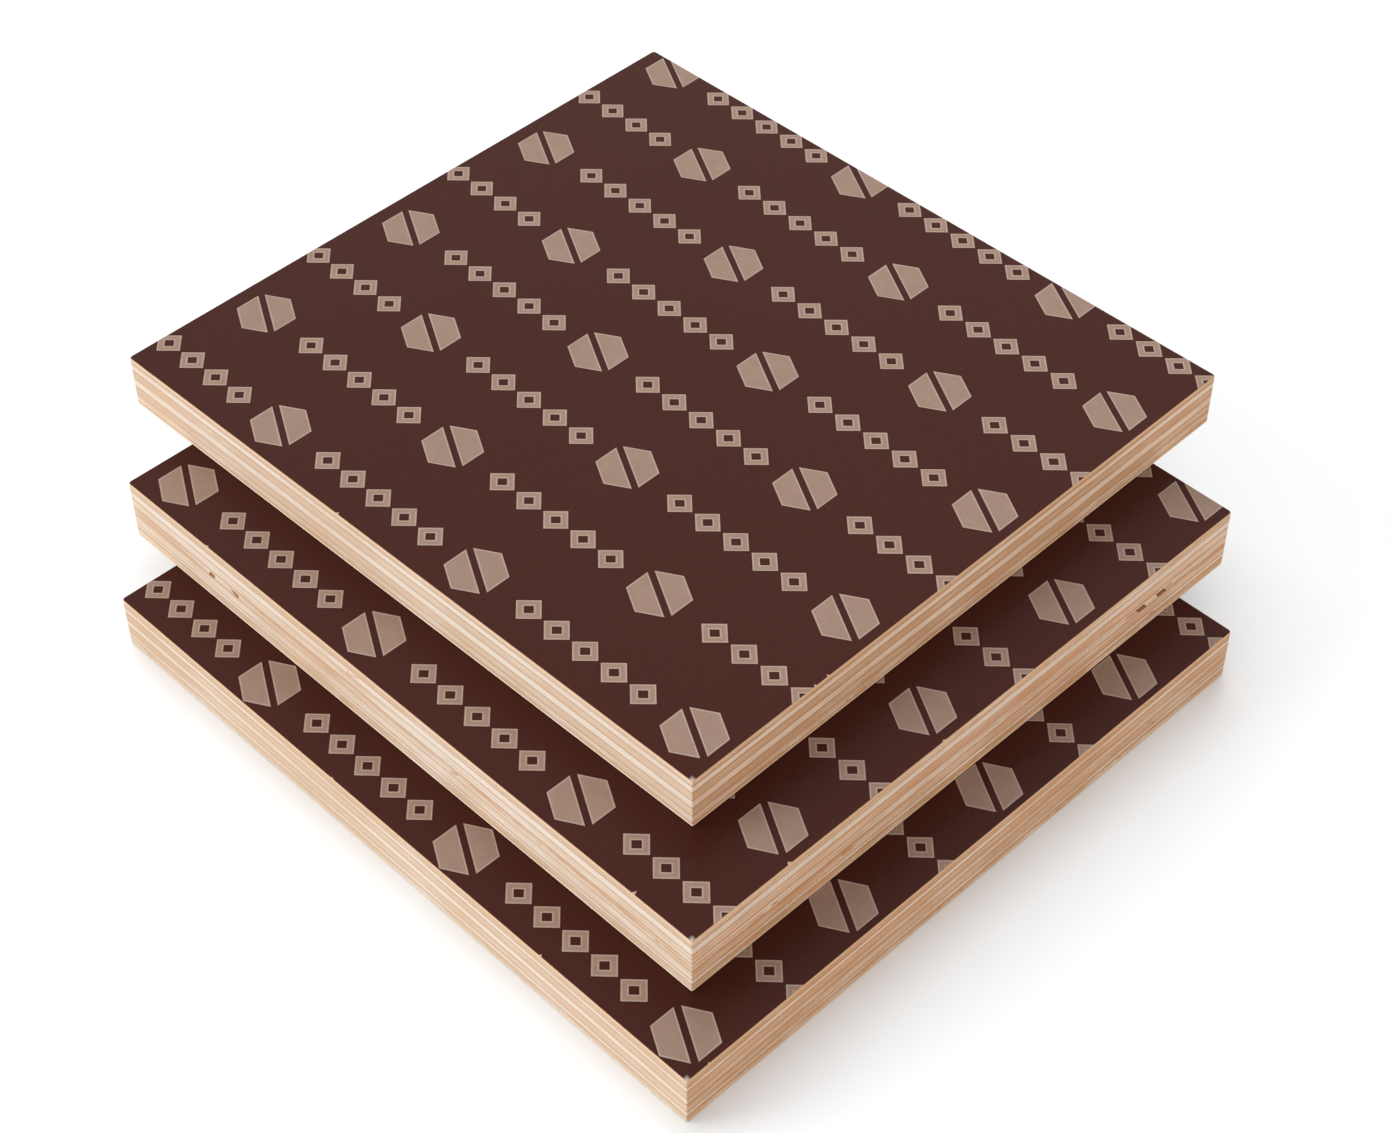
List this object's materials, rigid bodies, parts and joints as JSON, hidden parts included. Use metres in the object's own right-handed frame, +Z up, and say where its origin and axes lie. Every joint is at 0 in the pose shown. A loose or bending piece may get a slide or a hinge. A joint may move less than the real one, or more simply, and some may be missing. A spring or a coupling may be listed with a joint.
{
  "type": "stack of film-faced plywood sheets",
  "caption": "Loose stack of small film-faced plywood sheets with smooth dark brown faces and pale layered veneer edges, each upper sheet set back along the diagonal.",
  "frame": {"origin": "on the floor, under the middle of the whole stack's outline", "axes": "+Z up, +X along the longer sides of the bottom sheet, +Y along its shorter sides; the upper sheets are set back towards -X and +Y"},
  "size_m": [0.2832, 0.2662, 0.057],
  "materials": {
    "film": "satin phenolic film, dark brown with a pale tan geometric print on the upper faces",
    "veneer_tan": "sawn and lightly sanded veneer edge, tan, with fine grain lines",
    "veneer_cream": "sawn and lightly sanded veneer edge, pale cream, with fine pores"
  },
  "bodies": {
    "root": {"bottom_sheet_back_film": "film", "bottom_sheet_veneer_1": "veneer_tan", "bottom_sheet_veneer_2": "veneer_cream", "bottom_sheet_veneer_3": "veneer_tan", "bottom_sheet_veneer_4": "veneer_cream", "bottom_sheet_veneer_5": "veneer_tan", "bottom_sheet_veneer_6": "veneer_cream", "bottom_sheet_veneer_7": "veneer_tan", "bottom_sheet_face_film": "film", "middle_sheet_back_film": "film", "middle_sheet_veneer_1": "veneer_tan", "middle_sheet_veneer_2": "veneer_cream", "middle_sheet_veneer_3": "veneer_tan", "middle_sheet_veneer_4": "veneer_cream", "middle_sheet_veneer_5": "veneer_tan", "middle_sheet_veneer_6": "veneer_cream", "middle_sheet_veneer_7": "veneer_tan", "middle_sheet_face_film": "film", "top_sheet_back_film": "film", "top_sheet_veneer_1": "veneer_tan", "top_sheet_veneer_2": "veneer_cream", "top_sheet_veneer_3": "veneer_tan", "top_sheet_veneer_4": "veneer_cream", "top_sheet_veneer_5": "veneer_tan", "top_sheet_veneer_6": "veneer_cream", "top_sheet_veneer_7": "veneer_tan", "top_sheet_face_film": "film"}
  },
  "joints": []
}
